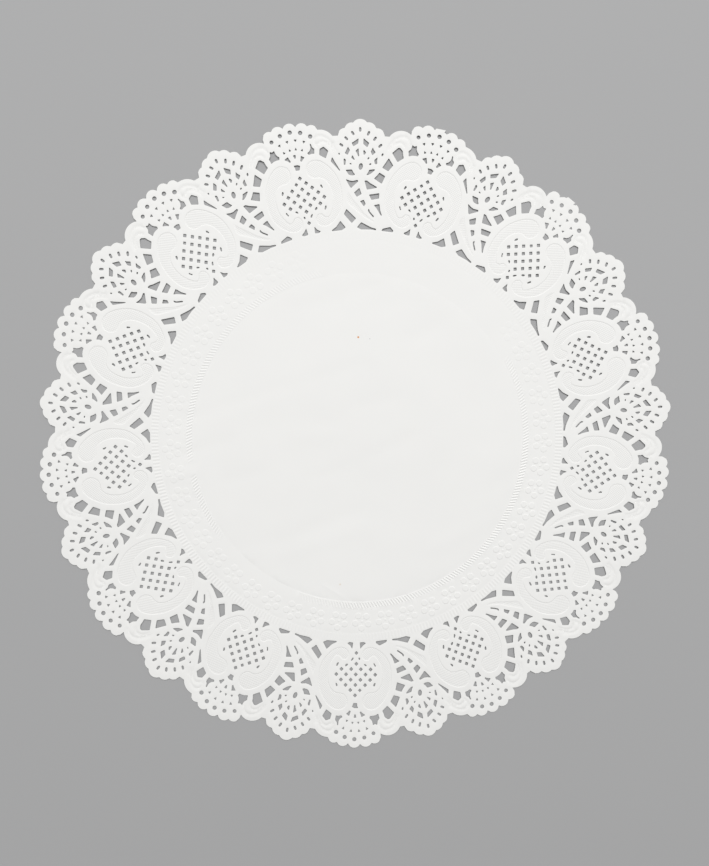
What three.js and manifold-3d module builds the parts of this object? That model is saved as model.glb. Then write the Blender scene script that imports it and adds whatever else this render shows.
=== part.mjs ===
// Round paper doily, cut and embossed from one flat sheet of white paper.
// Thirteen equal repeats run round its border. Each has a medallion with a fan on its outer side,
// and half of a flower at each end. Lengths are in millimetres and turns in degrees.
// The origin is the middle of the underside and +Z is up, so the face with the pressed-in scrolls shows.

import * as THREE from 'three';
import { mergeVertices } from 'three/addons/utils/BufferGeometryUtils.js';
import Module from 'manifold-3d';

const wasm = await Module();
wasm.setup();

// Driving dimensions
const REPEATS = 13;
const REPEAT_TURN = 360 / REPEATS;
const FIRST_TURN = 14.65; // from +Y, clockwise, to the first medallion
const SHEET_THICKNESS = 1.0;
const SCROLL_DEPTH = 0.3; // pressed into the top face
const VALLEY_RADIUS = 120.2; // the edge where no lobe passes it
const MEDALLION_REACH = 98.5; // from the doily's centre to a medallion's
const FLOWER_REACH = 107.95;
const FLOWER_TURN = -14.48; // from a medallion's axis to the flower on its left
const SEAM_TURN = -9.4; // where a repeat starts, in a valley of the edge
const EDGE_STEP = 0.62; // most that one straight stretch of the edge turns
const SEARCH_STEP = 0.01;
const LEAST_STRETCH = 0.15;
const PAPER_WHITE = 0xf1f0ec;

// A motif is a centre to measure from: how far out it is, and on which turn from the repeat's axis.
const CENTRE = { reach: 0, turn: 0 };
const MEDALLION = { reach: MEDALLION_REACH, turn: 0 };
const FLOWER = { reach: FLOWER_REACH, turn: FLOWER_TURN };

// The scalloped edge is the outer rim of overlapping round lobes.
const LOBES = table(['lobe', 'turn', 'reach', 'radius'], [
  ['left shoulder', -6.61, 117.5, 5.6],
  ['fan, first', -3.8, 123.3, 2.6],
  ['fan, second', -2.05, 124.25, 2.75],
  ['fan, middle', 0.15, 124.5, 2.75],
  ['fan, fourth', 2.35, 123.95, 2.6],
  ['fan, last', 4.1, 122.85, 2.5],
  ['right shoulder', 5.48, 117.2, 5.9],
  ['flower, first', 10.35, 120.25, 2.9],
  ['flower, second', 11.7, 122.2, 3.1],
  ['flower, middle', 13.26, 123.35, 3.4],
  ['flower, fourth', 14.8, 122.3, 3.15],
  ['flower, last', 16.41, 120.2, 3.0],
]);
const VALLEY = { lobe: 'valley', turn: 0, reach: 0, radius: VALLEY_RADIUS };

// The gaps, each with its corners as turns and radii from its motif's centre, all taken the same way round.
const GAPS = [
  // Round the medallion, from its stem on the left over the fan to its foot on the right.
  ...table(['motif', 'gap', 'turns', 'radii'], [
    [MEDALLION, 'stem wedge', [-126.8, -120, -111.6, -112.2, -116.3, -126.3], [17.6, 17.55, 17.35, 19.65, 18.8, 18]],
    [MEDALLION, 'stem window', [-104.5, -97.5, -100.5, -106], [17.4, 17.4, 21.4, 20.4]],
    [MEDALLION, 'flower wedge', [-91.7, -90.5, -88.3, -86.8, -87.6, -95.6], [18.8, 18.75, 21.7, 23.2, 24.15, 22.4]],
    [MEDALLION, 'low window', [-85, -74, -73.8, -78, -82.5], [17.3, 17.3, 19.95, 20.2, 20.85]],
    [MEDALLION, 'high window', [-66.5, -56.5, -54.7, -67.5], [17.4, 17.5, 20.8, 20.1]],
    [
      MEDALLION,
      'left lozenge',
      [-49.5, -40, -38.7, -37.4, -38.5, -40.3, -48.6],
      [17.5, 17.55, 19.1, 20.2, 21.8, 22.2, 21.6],
    ],
    [MEDALLION, 'left bell', [-33, -20.2, -21.2, -25.3, -31.4], [17.5, 17.1, 20.8, 21.5, 19.5]],
    [MEDALLION, 'right bell', [18.5, 27.2, 26.6, 20.4, 20.7], [16.5, 17.2, 18.5, 20.7, 17.8]],
    [MEDALLION, 'right lozenge', [34.2, 43.7, 41.9, 35.2, 32], [17.3, 17.3, 20.4, 21.05, 19.6]],
    [MEDALLION, 'splinter', [51, 68.2, 67.2, 55, 49.2], [17.5, 17.5, 17.8, 18.45, 19.2]],
    [MEDALLION, 'foot window', [119, 126.5, 131.6, 125.3], [17.5, 17.3, 21.6, 22.35]],
    [MEDALLION, 'foot wedge', [136.4, 145.6, 153.6, 152.9, 144.1, 139.1], [17.3, 17.5, 17.3, 17.8, 20, 20.5]],
  ]),
  // Along the plain rim, and up the stem of the flower.
  ...table(['motif', 'gap', 'turns', 'radii'], [
    [
      CENTRE,
      'rim leaf',
      [-14.35, -11.8, -10.35, -10.3, -11.8, -14.35, -15.5],
      [83.2, 83.3, 83.1, 83.7, 84.2, 86.05, 84],
    ],
    [CENTRE, 'rim hump', [-8.85, -5.7, -5.65, -6.6, -8.6], [83.1, 83.2, 83.9, 85.1, 84]],
    [CENTRE, 'stem slit', [-11.1, -12.2, -12.5, -12.65, -12.15, -11.3], [88.6, 90.3, 91.4, 90.9, 89.4, 88.1]],
    [CENTRE, 'stem diamond', [-15.4, -14.25, -14.75, -16], [95.95, 97.1, 99.5, 97.65]],
    [
      CENTRE,
      'stem fork',
      [-16.9, -16.6, -16.3, -14.95, -15.15, -16.2, -16.9, -17.75],
      [99.9, 99.4, 100, 102.1, 102.65, 102.2, 102.4, 103],
    ],
  ]),
  // Inside the flower.
  ...table(['motif', 'gap', 'turns', 'radii'], [
    [
      FLOWER,
      'left crescent',
      [-124.5, -132, -141.7, -147, -128.8, -110.5, -104],
      [5.75, 5.35, 4.6, 3.9, 3.7, 3.6, 6.1],
    ],
    [
      FLOWER,
      'right crescent',
      [126.3, 146, 138.1, 122.6, 103.7, 101.1, 111.1],
      [3.8, 4.1, 4.55, 5.05, 5.9, 5.65, 3.7],
    ],
    [FLOWER, 'lower left pane', [-49, -33, -32.5, -50.5], [6.7, 7.55, 9.1, 8]],
    [FLOWER, 'upper left pane', [-19.5, -5, -3, -20.5], [8.3, 9.1, 11.1, 9.8]],
    [FLOWER, 'upper right pane', [8, 20.5, 21, 7], [8.9, 8.0, 9.9, 11.2]],
    [FLOWER, 'lower right pane', [35.5, 47.5, 47.5, 38, 33.5], [7.1, 6.4, 8.2, 8.5, 9.0]],
  ]),
];

// A medallion holds two pressed-in scrolls, mirror images. Each row says where its two edges lie.
const SCROLL = table(['turn', 'inner', 'outer'], [
  [16, 9.6, 11.6],
  [25, 7.7, 14.6],
  [43, 7.8, 15.4],
  [66, 10.6, 15.4],
  [102, 11.2, 15.2],
  [134, 11.6, 15.3],
  [147, 9.4, 15.2],
  [166, 10.0, 12.6],
]);

// The soft border has moved a little out of round: how far outwards and how far clockwise, by the
// turn from the doily's +Y. The rows hold for the farthest points and fade out to EVEN_REACH.
const STRETCH = table(['turn', 'out', 'along'], [
  [0, -1.2, -0.6],
  [30, -0.1, -0.25],
  [60, 0.8, 1.05],
  [90, 1.4, 1.0],
  [120, 0.6, 0.3],
  [150, -0.2, 0.1],
  [180, 0.7, -0.4],
  [210, 0.95, -1.0],
  [240, 0.45, -1.1],
  [270, -0.25, -0.85],
  [300, -0.45, 0.2],
  [330, -0.65, 0.55],
  [360, -1.2, -0.6],
]);
const EVEN_REACH = 75;
const STRETCHED_REACH = 124;
const STRETCH_POWER = 1.6;

function table(columns, rows) {
  return rows.map((row) => Object.fromEntries(columns.map((column, i) => [column, row[i]])));
}

// A point in the first repeat's own frame: +Y runs outwards along the medallion's axis.
function pointFrom(motif, turn, radius) {
  const axis = THREE.MathUtils.degToRad(motif.turn);
  const ray = THREE.MathUtils.degToRad(motif.turn + turn);
  const x = motif.reach * Math.sin(axis) + radius * Math.sin(ray);
  const y = motif.reach * Math.cos(axis) + radius * Math.cos(ray);
  return new THREE.Vector2(x, y);
}

// Where a point of the even pattern lies on the sheet.
function stretched(point) {
  const reach = point.length();
  if (reach < EVEN_REACH) return point;
  const turn = (THREE.MathUtils.radToDeg(Math.atan2(point.x, point.y)) + 360) % 360;
  const next = STRETCH.findIndex((row) => row.turn > turn);
  const [low, high] = [STRETCH[next - 1], STRETCH[next]];
  const between = (turn - low.turn) / (high.turn - low.turn);
  const share = ((reach - EVEN_REACH) / (STRETCHED_REACH - EVEN_REACH)) ** STRETCH_POWER;
  const out = point.clone().divideScalar(reach);
  const along = new THREE.Vector2(out.y, -out.x);
  return point
    .clone()
    .addScaledVector(out, share * THREE.MathUtils.lerp(low.out, high.out, between))
    .addScaledVector(along, share * THREE.MathUtils.lerp(low.along, high.along, between));
}

// Points of the first repeat's own frame, taken round to one repeat on the sheet.
function placed(points, repeat) {
  const turn = THREE.MathUtils.degToRad(FIRST_TURN + repeat * REPEAT_TURN);
  return points.map((point) => stretched(point.clone().rotateAround(new THREE.Vector2(), -turn)));
}

// How far out a lobe's rim lies on a turn, or nothing where the lobe doesn't reach that turn.
function rimOfLobe(lobe, turn) {
  const swing = THREE.MathUtils.degToRad(turn - lobe.turn);
  const aside = lobe.reach * Math.sin(swing);
  if (Math.abs(aside) > lobe.radius) return 0;
  return lobe.reach * Math.cos(swing) + Math.sqrt(lobe.radius ** 2 - aside ** 2);
}

function outermostLobe(turn) {
  return LOBES.reduce((best, lobe) => (rimOfLobe(lobe, turn) > rimOfLobe(best, turn) ? lobe : best), VALLEY);
}

// The stretch of turns on which each lobe in turn forms the edge.
function lobeSpans() {
  const spans = [];
  for (let turn = SEAM_TURN; turn < SEAM_TURN + REPEAT_TURN; turn += SEARCH_STEP) {
    const lobe = outermostLobe(turn);
    const last = spans.at(-1);
    if (last?.lobe === lobe) last.end = turn;
    else spans.push({ lobe, start: turn, end: turn });
  }
  return spans;
}

function edgeOfRepeat() {
  const points = [];
  for (const { lobe, start, end } of lobeSpans()) {
    const steps = Math.max(1, Math.round((end - start) / EDGE_STEP));
    for (let i = 0; i <= steps; i++) {
      const turn = start + ((end - start) * i) / steps;
      const point = pointFrom(CENTRE, turn, rimOfLobe(lobe, turn));
      const last = points.at(-1);
      if (!last || point.distanceTo(last) > LEAST_STRETCH) points.push(point);
    }
  }
  return points.slice(0, -1); // its last point is the next repeat's first
}

function extrude(shape, from, to) {
  const geometry = new THREE.ExtrudeGeometry(shape, { depth: to - from, bevelEnabled: false });
  geometry.translate(0, 0, from);
  return geometry;
}

function solidOf(geometry) {
  geometry.deleteAttribute('normal');
  geometry.deleteAttribute('uv');
  const merged = mergeVertices(geometry, 1e-4);
  return new wasm.Manifold(
    new wasm.Mesh({
      numProp: 3,
      vertProperties: new Float32Array(merged.attributes.position.array),
      triVerts: new Uint32Array(merged.index.array),
    }),
  );
}

function geometryOf(solid) {
  const mesh = solid.getMesh();
  const geometry = new THREE.BufferGeometry();
  geometry.setAttribute('position', new THREE.BufferAttribute(mesh.vertProperties, 3));
  geometry.setIndex(new THREE.BufferAttribute(mesh.triVerts, 1));
  geometry.computeVertexNormals();
  return geometry;
}

function cutSheet() {
  const edge = edgeOfRepeat();
  const outline = [];
  const sheet = new THREE.Shape();
  for (let repeat = 0; repeat < REPEATS; repeat++) {
    outline.push(...placed(edge, repeat));
    for (const { motif, turns, radii } of GAPS) {
      const corners = turns.map((turn, i) => pointFrom(motif, turn, radii[i]));
      sheet.holes.push(new THREE.Path(placed(corners, repeat)));
    }
  }
  sheet.setFromPoints(outline);
  return extrude(sheet, 0, SHEET_THICKNESS);
}

// The punch of a scroll, which stands clear above the sheet and ends at the scroll's depth.
function scrollPunch(repeat, side) {
  const outer = SCROLL.map((row) => pointFrom(MEDALLION, side * row.turn, row.outer));
  const inner = SCROLL.map((row) => pointFrom(MEDALLION, side * row.turn, row.inner));
  const shape = new THREE.Shape(placed([...outer, ...inner.reverse()], repeat));
  return extrude(shape, SHEET_THICKNESS - SCROLL_DEPTH, SHEET_THICKNESS + SCROLL_DEPTH);
}

function doily() {
  let solid = solidOf(cutSheet());
  for (let repeat = 0; repeat < REPEATS; repeat++) {
    for (const side of [-1, 1]) solid = solid.subtract(solidOf(scrollPunch(repeat, side)));
  }
  const paper = new THREE.MeshStandardMaterial({ color: PAPER_WHITE, roughness: 0.92, metalness: 0 });
  const mesh = new THREE.Mesh(geometryOf(solid), paper);
  mesh.name = 'doily';
  return mesh;
}

const part = new THREE.Group();
part.add(doily());

export default part;
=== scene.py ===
import math
import random

import bpy
from mathutils import Matrix, Vector, geometry, noise


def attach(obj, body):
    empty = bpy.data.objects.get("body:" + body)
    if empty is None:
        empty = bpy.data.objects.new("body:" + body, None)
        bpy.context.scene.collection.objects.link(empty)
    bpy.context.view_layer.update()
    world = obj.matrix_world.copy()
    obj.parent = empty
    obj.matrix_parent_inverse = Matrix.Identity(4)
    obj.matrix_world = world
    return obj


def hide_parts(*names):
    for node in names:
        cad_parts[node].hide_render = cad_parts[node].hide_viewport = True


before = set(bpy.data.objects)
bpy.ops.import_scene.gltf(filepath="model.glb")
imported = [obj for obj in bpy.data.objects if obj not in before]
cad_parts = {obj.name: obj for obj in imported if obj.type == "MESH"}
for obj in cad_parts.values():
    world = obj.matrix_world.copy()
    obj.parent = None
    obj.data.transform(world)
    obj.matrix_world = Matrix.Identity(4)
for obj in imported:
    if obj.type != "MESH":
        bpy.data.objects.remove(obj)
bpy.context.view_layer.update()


# The die
# A paper doily is cut and embossed by one stroke of a steel die, so its lace is drawn as the die's own
# points, pressed lines and gaps. They are laid out in millimetres for one repeat, which is then stamped
# thirteen times.
REPEATS = 13
REPEAT_TURN = 360 / REPEATS
FIRST_TURN = 14.65  # from +Y, clockwise, to the first medallion's axis


def turned(point, turn):
    """The point moved clockwise round the doily's centre by a turn in degrees."""
    return Matrix.Rotation(-math.radians(turn), 2) @ point


def out_from(reach, axis_turn, turn, radius):
    """A point by its turn and radius from a motif that is itself a reach out from the centre."""
    return turned(Vector((0, reach)), axis_turn) + turned(Vector((0, radius)), axis_turn + turn)


def inside(point, loop):
    """Whether a point is inside a closed loop."""
    hit = False
    x, y = point
    last = loop[-1]
    for here in loop:
        if (here[1] > y) != (last[1] > y):
            if x < (last[0] - here[0]) * (y - here[1]) / (last[1] - here[1]) + here[0]:
                hit = not hit
        last = here
    return hit


class Spacing:
    """Remembers where points are, so that a new one can keep its distance."""

    CELL = 0.6

    def __init__(self):
        self.cells = {}

    def add(self, point):
        key = (math.floor(point[0] / self.CELL), math.floor(point[1] / self.CELL))
        self.cells.setdefault(key, []).append((point[0], point[1]))

    def clear(self, point, distance):
        x, y = point
        reach = math.ceil(distance / self.CELL)
        column, row = math.floor(x / self.CELL), math.floor(y / self.CELL)
        for i in range(column - reach, column + reach + 1):
            for j in range(row - reach, row + reach + 1):
                for a, b in self.cells.get((i, j), ()):
                    if (a - x) ** 2 + (b - y) ** 2 < distance**2:
                        return False
        return True


class Die:
    """Points with a height in millimetres and a share of linen grain, the lines that join them, and gaps.

    A point's home is its place in its own repeat, which the linen grain is turned with. A crease is a line
    that stays sharp.
    """

    def __init__(self):
        self.points = []
        self.homes = []
        self.heights = []
        self.linen = []
        self.lines = []
        self.creases = []
        self.gaps = []

    def dot(self, point, height=0.0, linen=0.0):
        self.points.append(Vector(point))
        self.homes.append(Vector(point))
        self.heights.append(height)
        self.linen.append(linen)
        return len(self.points) - 1

    def line(self, points, height=0.0, linen=0.0, closed=False):
        row = [self.dot(point, height, linen) for point in points]
        self.lines += zip(row, row[1:])
        if closed:
            self.lines.append((row[-1], row[0]))
        return row

    def crease(self, row, closed=False):
        self.creases += zip(row, row[1:])
        if closed:
            self.creases.append((row[-1], row[0]))

    def gap(self, loop, height):
        self.gaps.append(self.line(loop, height, closed=True))

    def stamp(self, other, turn):
        first = len(self.points)
        self.points += [turned(point, turn) for point in other.points]
        self.homes += other.homes
        self.heights += other.heights
        self.linen += other.linen
        self.lines += [(a + first, b + first) for a, b in other.lines]
        self.creases += [(a + first, b + first) for a, b in other.creases]
        self.gaps += [[i + first for i in gap] for gap in other.gaps]


repeat = Die()


# The scalloped edge
# The outline is the outer rim of overlapping round lobes: two shoulders and five small lobes on each fan,
# and five on the outer side of each flower. Each row is a turn and a reach from the centre, and a radius.
LOBES = [
    (-6.61, 117.5, 5.6),
    (-3.8, 123.32, 2.6),
    (-2.05, 124.25, 2.75),
    (0.15, 124.5, 2.75),
    (2.35, 123.97, 2.62),
    (4.1, 122.85, 2.48),
    (5.48, 117.2, 5.9),
    (10.35, 120.25, 2.88),
    (11.7, 122.2, 3.08),
    (13.26, 123.35, 3.38),
    (14.8, 122.3, 3.13),
    (16.41, 120.2, 2.98),
]
VALLEY_RADIUS = 120.2
SEAM_TURN = -9.4
CUT_DROP = -0.06  # the die's blades press each cut edge down a little
SHOULDER_IN = 0.42  # and the paper is level again this far from the cut
EDGE_STEP_TURN = 0.36
EDGE_POINT_ROOM = 0.25


def rim_of_lobe(lobe, turn):
    """How far out a lobe's rim lies on a turn, or nothing where it doesn't reach that turn."""
    lobe_turn, reach, radius = lobe
    swing = math.radians(turn - lobe_turn)
    aside = reach * math.sin(swing)
    if abs(aside) > radius:
        return 0.0
    return reach * math.cos(swing) + math.sqrt(radius**2 - aside**2)


def edge_at(turn):
    """The lobe that forms the edge on a turn, and how far out the edge is there."""
    turn = (turn - SEAM_TURN) % REPEAT_TURN + SEAM_TURN
    reach, number = max((rim_of_lobe(lobe, turn), i) for i, lobe in enumerate(LOBES))
    return (VALLEY_RADIUS, -1) if reach < VALLEY_RADIUS else (reach, number)


def edge_spans():
    """The stretch of turns on which each lobe in turn forms the edge."""
    spans = []
    looks = 2700
    for i in range(looks):
        turn = SEAM_TURN + REPEAT_TURN * i / looks
        number = edge_at(turn)[1]
        if spans and spans[-1][0] == number:
            spans[-1][2] = turn
        else:
            spans.append([number, turn, turn])
    return spans


def edge_of_repeat():
    points = []
    for _, start, end in edge_spans():
        steps = max(1, round((end - start) / EDGE_STEP_TURN))
        for i in range(steps + 1):
            turn = start + (end - start) * i / steps
            point = turned(Vector((0, edge_at(turn)[0])), turn)
            if not points or (point - points[-1]).length > EDGE_POINT_ROOM:
                points.append(point)
    return points


edge = edge_of_repeat()


# The windows between the motifs
# Straight-sided gaps round each medallion, along the plain rim and up the flower's stem leave narrow bars
# of paper between them. The punched corners come out slightly round.
MEDALLION = (98.5, 0)
CENTRE = (0, 0)
BORDER_WINDOWS = [
    (MEDALLION, [
        (-126.8, 17.6), (-120, 17.55), (-111.6, 17.35), (-112.2, 19.65), (-116.3, 18.8), (-126.3, 18.0),
    ]),
    (MEDALLION, [(-104.5, 17.4), (-97.5, 17.4), (-100.5, 21.4), (-106, 20.4)]),
    (MEDALLION, [
        (-91.7, 18.8), (-90.5, 18.75), (-88.3, 21.7), (-86.8, 23.2), (-87.6, 24.15), (-95.6, 22.4),
    ]),
    (MEDALLION, [(-85, 17.3), (-74, 17.3), (-73.8, 19.95), (-78, 20.2), (-82.5, 20.85)]),
    (MEDALLION, [(-66.5, 17.4), (-56.5, 17.5), (-54.7, 20.8), (-67.5, 20.1)]),
    (MEDALLION, [
        (-49.5, 17.5), (-40, 17.55), (-38.7, 19.1), (-37.4, 20.2), (-38.5, 21.8), (-40.3, 22.2),
        (-48.6, 21.6),
    ]),
    (MEDALLION, [(34.2, 17.3), (43.7, 17.3), (41.9, 20.4), (35.2, 21.05), (32, 19.6)]),
    (MEDALLION, [(51, 17.5), (68.2, 17.5), (67.2, 17.8), (55, 18.45), (49.2, 19.2)]),
    (MEDALLION, [(119, 17.5), (126.5, 17.3), (131.6, 21.6), (125.3, 22.35)]),
    (MEDALLION, [(136.4, 17.3), (145.6, 17.5), (153.6, 17.3), (152.9, 17.8), (144.1, 20.0), (139.1, 20.5)]),
    (CENTRE, [
        (-14.35, 83.2), (-11.8, 83.3), (-10.35, 83.1), (-10.3, 83.7), (-11.8, 84.2), (-14.35, 86.05),
        (-15.5, 84.0),
    ]),
    (CENTRE, [(-8.85, 83.1), (-5.7, 83.2), (-5.65, 83.9), (-6.6, 85.1), (-8.6, 84.0)]),
    (CENTRE, [(-15.4, 95.95), (-14.25, 97.1), (-14.75, 99.5), (-16, 97.65)]),
    (CENTRE, [
        (-17.75, 103.0), (-16.9, 102.4), (-16.2, 102.2), (-15.15, 102.65), (-14.95, 102.1), (-16.3, 100.0),
        (-16.6, 99.4), (-16.9, 99.9),
    ]),
]
STEM_WINDOWS = [
    [(-4.15, 83.6), (-3.4, 83.15), (-1.95, 83.2), (-1.65, 83.5), (-1.9, 85.9), (-2.3, 85.4), (-2.95, 84.6)],
    [(1.1, 83.3), (2.7, 83.1), (3.5, 83.6), (2.25, 84.55), (1.8, 85.3), (1.45, 85.95)],
    [(-23.8, 91.2), (-22.55, 92.15), (-21.4, 90.8), (-21.8, 89.6)],
    [
        (-19.75, 89.2), (-19.5, 89.0), (-19.05, 88.25), (-17.1, 86.95), (-17.0, 86.6), (-17.3, 86.4),
        (-18.8, 87.4), (-19.75, 88.2), (-19.9, 88.7),
    ],
]


def rounded(corners, radius=0.28, stretch=2.3):
    """The corners of a gap joined, with each sharp one rounded and the long sides in stretches.

    A small radius is cut straight across, and a larger one goes by a third point.
    """
    blunt = math.radians(145)
    most_of_side = 0.36
    small = 0.25
    ends = []
    for i, corner in enumerate(corners):
        back = corners[i - 1] - corner
        ahead = corners[(i + 1) % len(corners)] - corner
        if back.angle(ahead) > blunt:
            ends.append([corner])
            continue
        start = corner + back.normalized() * min(radius, back.length * most_of_side)
        end = corner + ahead.normalized() * min(radius, ahead.length * most_of_side)
        ends.append([start, end] if radius < small else [start, (start + corner * 2 + end) / 4, end])
    loop = []
    for here, following in zip(ends, ends[1:] + ends[:1]):
        side = following[0] - here[-1]
        pieces = max(1, round(side.length / stretch))
        loop += here + [here[-1] + side * (j / pieces) for j in range(1, pieces)]
    return loop


def facing_up(loop):
    """The loop taken anticlockwise."""
    area = sum(a.x * b.y - b.x * a.y for a, b in zip(loop, loop[1:] + loop[:1]))
    return loop if area > 0 else loop[::-1]


for (reach, axis), corners in BORDER_WINDOWS:
    repeat.gap(rounded(facing_up([out_from(reach, axis, turn, r) for turn, r in corners])), CUT_DROP)
WINDOW_CORNER = 0.26
for corners in STEM_WINDOWS:
    repeat.gap(rounded(facing_up([Vector(corner) for corner in corners]), WINDOW_CORNER), CUT_DROP)


# The flower
# A flower stands at the left end of each repeat: an oval eye, seven slots for its outer petals, four panes,
# two crescents below and short rays between. Corners are turns and radii from the eye.
FLOWER = (107.95, -14.48)
FLOWER_PANES = [
    [(-104, 6.1), (-110.5, 3.6), (-128.8, 3.7), (-147, 3.9), (-141.7, 4.6), (-132, 5.35), (-124.5, 5.75)],
    [(111.1, 3.7), (101.1, 5.65), (103.7, 5.9), (122.6, 5.05), (138.1, 4.55), (146, 4.1), (126.3, 3.8)],
    [(-49, 6.7), (-33, 7.55), (-32.5, 9.1), (-50.5, 8.0)],
    [(-19.5, 8.3), (-5, 9.1), (-3, 11.1), (-20.5, 9.8)],
    [(8, 8.9), (20.5, 8.0), (21, 9.9), (7, 11.2)],
    [(35.5, 7.1), (47.5, 6.4), (47.5, 8.2), (38, 8.5), (33.5, 9.0)],
    [(-61.1, 10.0), (-59.5, 10.1), (-57.9, 9.75), (-59.6, 9.4), (-63.4, 9.35)],
    [(59.4, 10.3), (61.4, 10.45), (64.3, 10), (65.6, 9.45), (63.7, 9.2), (59.6, 9.75)],
    [(-66.7, 7.25), (-64.6, 6.85), (-67.1, 6.25), (-85.2, 6.0), (-86.5, 6.6)],
    [(61.8, 7.55), (64.5, 7.45), (71, 6.95), (81, 6.7), (82.3, 6.15), (79, 5.7), (65.3, 6.0)],
    [(-17.5, 6.4), (-5.5, 7.2), (-6, 4.1), (-12, 3.9), (-14, 5.2)],
    [(10.8, 6.3), (12.5, 6.6), (15, 6.5), (22.6, 5.95), (20.8, 4.9), (15.6, 4.8)],
    [(-35.5, 5.4), (-37.3, 4.4), (-39.2, 3.55), (-44.8, 3.4), (-47.8, 4.95)],
    [(41.3, 4.95), (47.7, 5.0), (48.5, 4.0), (42, 4.0)],
    [(-80.5, 4.05), (-77.8, 4.45), (-72.9, 4.4), (-73.5, 3.65), (-78.1, 3.55)],
    [(72, 4.4), (81, 4.35), (82.2, 3.55), (74.3, 3.5)],
]
FLOWER_SLOTS = [
    ((0.3, 13.65), (0.3, 15.5)),
    ((-11, 12.55), (-13.9, 14.25)),
    ((-25.6, 11.4), (-28, 13.15)),
    ((-41.2, 10.35), (-43, 12.05)),
    ((13.5, 12.5), (15, 14.4)),
    ((27.6, 11.4), (28.6, 13.3)),
    ((43.9, 10.35), (44.4, 12.25)),
]
SLOT_WIDTH = 0.92
SMALL_PANE = 2.3
SMALL_PANE_CORNER = 0.2
PANE_CORNER = 0.28
EYE_PLACE = (113, 0.13)
EYE_HALF_ACROSS = 0.82
EYE_HALF_UP = 1.34
EYE_LEAN = -2.5
EYE_POINTS = 14


def slot_between(inner, outer, width):
    """A slot with round ends, whose length is all of the distance between its ends."""
    along = (outer - inner).normalized()
    aside = Vector((along.y, -along.x)) * width / 2
    inner = inner + along * width / 2
    outer = outer - along * width / 2
    loop = []
    for middle, forward in ((outer, along), (inner, -along)):
        side = aside if middle is outer else -aside
        for angle in (0, 45, 90, 135, 180):
            turn = math.radians(angle)
            loop.append(middle + side * math.cos(turn) + forward * math.sin(turn) * width / 2)
    return loop


for corners in FLOWER_PANES:
    pane = [out_from(*FLOWER, turn, r) for turn, r in corners]
    small = max((a - b).length for a in pane for b in pane) < SMALL_PANE
    repeat.gap(rounded(facing_up(pane), SMALL_PANE_CORNER if small else PANE_CORNER), CUT_DROP)
for inner, outer in FLOWER_SLOTS:
    slot = slot_between(out_from(*FLOWER, *inner), out_from(*FLOWER, *outer), SLOT_WIDTH)
    repeat.gap(facing_up(slot), CUT_DROP)
eye_centre = out_from(*FLOWER, *EYE_PLACE)
eye = []
for i in range(EYE_POINTS):
    around = math.tau * i / EYE_POINTS
    oval = Vector((EYE_HALF_ACROSS * math.sin(around), EYE_HALF_UP * math.cos(around)))
    eye.append(eye_centre + turned(oval, EYE_LEAN))
repeat.gap(facing_up(eye), CUT_DROP)


# The fan
# Five round holes follow the fan's lobes, with rows of small triangles inside them, three windows and a
# foot towards the medallion. Two bell-shaped windows stand at its sides.
FAN_CENTRE = Vector((0, 110))
FAN_HOLE_SIDES = 12
FAN_HOLES = [
    (-34, 13.7, 0.79), (-16.5, 13.65, 0.83), (1.2, 13.7, 0.87), (18.7, 13.45, 0.87), (36.6, 13.2, 0.88),
]
FAN_WINDOWS = [
    [(-49.3, 5.6), (-30.3, 5.25), (-34, 4.1), (-37.3, 3.1), (-48, 3.1), (-46.8, 4.1)],
    [(32, 4.65), (37, 4.7), (51.5, 4.85), (51.3, 3.85), (55.5, 2.85), (42.5, 2.65), (36.5, 3.7)],
    [(-6.2, 4.8), (7.2, 4.75), (5, 3.35), (-3.5, 3.35)],
]
FAN_FOOT = [
    (-1.2, 110.72), (-0.8, 109.6), (-0.8, 108.65), (0.75, 108.55), (0.95, 109.2), (1.35, 110.2),
    (0.3, 110.72),
]
BELLS = [
    [
        (-9.2, 117.9), (-9.35, 116.2), (-10.2, 115.0), (-9.85, 114.3), (-9.6, 113.15), (-8.4, 113.8),
        (-7.3, 114.05), (-6.1, 114.1), (-5.95, 115.1), (-6.6, 115.6), (-7.15, 116.5), (-7.45, 118.0),
        (-8.3, 117.45),
    ],
    [
        (7.0, 117.8), (7.42, 117.7), (7.6, 116.4), (8.3, 115.55), (8.2, 114.9), (7.9, 113.65), (6.9, 113.85),
        (5.7, 113.65), (5.2, 114.4), (6.2, 115.0), (6.8, 115.8), (6.97, 116.6),
    ],
]
# Each row of triangles: their places, half their base's turn, how far out their base and their tip are
# from those places, and how round their corners are
WEDGE_ROWS = [
    ([(-27.5, 10.5), (-9, 10.3), (9.5, 10.3), (28.5, 10.2)], 3.3, 0.5, -0.7, 0.17),
    ([(-31, 7.3), (-11, 6.95), (9.3, 6.9), (30, 6.9)], 4.4, -0.34, 0.7, 0.15),
]


def fan_point(turn, radius):
    return FAN_CENTRE + turned(Vector((0, radius)), turn)


rays = [math.tau * i / FAN_HOLE_SIDES for i in range(FAN_HOLE_SIDES)]
for turn, reach, radius in FAN_HOLES:
    middle = fan_point(turn, reach)
    repeat.gap([middle + Vector((math.cos(ray), math.sin(ray))) * radius for ray in rays], CUT_DROP)
for wedges, half_turn, base, tip, corner_radius in WEDGE_ROWS:
    for turn, reach in wedges:
        left = fan_point(turn - half_turn, reach + base)
        right = fan_point(turn + half_turn, reach + base)
        wedge = [left, right, fan_point(turn, reach + tip)]
        repeat.gap(rounded(facing_up(wedge), corner_radius), CUT_DROP)
for corners in FAN_WINDOWS:
    repeat.gap(rounded(facing_up([fan_point(*corner) for corner in corners]), WINDOW_CORNER), CUT_DROP)
for corners in (FAN_FOOT, *BELLS):
    repeat.gap(rounded(facing_up([Vector(corner) for corner in corners]), WINDOW_CORNER), CUT_DROP)


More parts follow.
